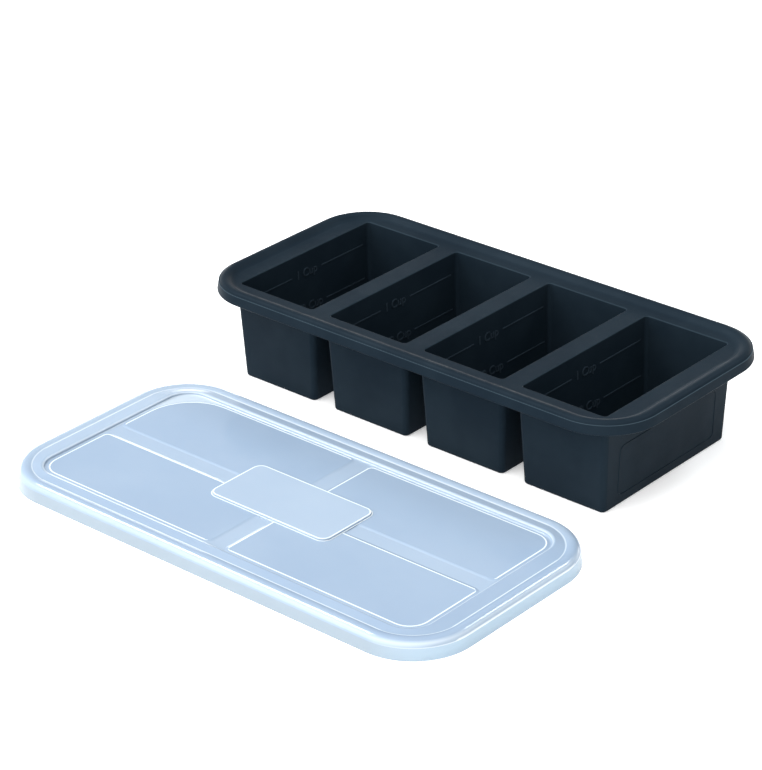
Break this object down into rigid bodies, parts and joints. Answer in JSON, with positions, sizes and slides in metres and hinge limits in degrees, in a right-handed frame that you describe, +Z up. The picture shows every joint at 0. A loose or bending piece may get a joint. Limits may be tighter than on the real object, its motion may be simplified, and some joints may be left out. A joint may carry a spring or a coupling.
{
  "type": "freezer portion tray",
  "caption": "Long silicone freezer tray of deep rectangular cups in a row with a wire-stiffened raised rim, and a thin translucent lid lying beside it.",
  "frame": {"origin": "on the table, under the middle of the box round the tray and the lid together", "axes": "+X along the row of cups, +Y from the lid towards the tray, +Z up out of the cups"},
  "size_m": [0.3064, 0.3052, 0.0604],
  "materials": {
    "silicone": "matt silicone, very slightly lit edges",
    "lid_plastic": "translucent polypropylene, soft gloss",
    "wire": "drawn stainless wire"
  },
  "bodies": {
    "tray_body": {"tray": "silicone", "rim_frame": "wire"},
    "lid_body": {"lid": "lid_plastic"}
  },
  "joints": [
    {"name": "lid_lift", "type": "slide", "parent": "tray_body", "child": "lid_body", "axis": [0, 0, 1], "range_m": [0, 0.09]}
  ]
}
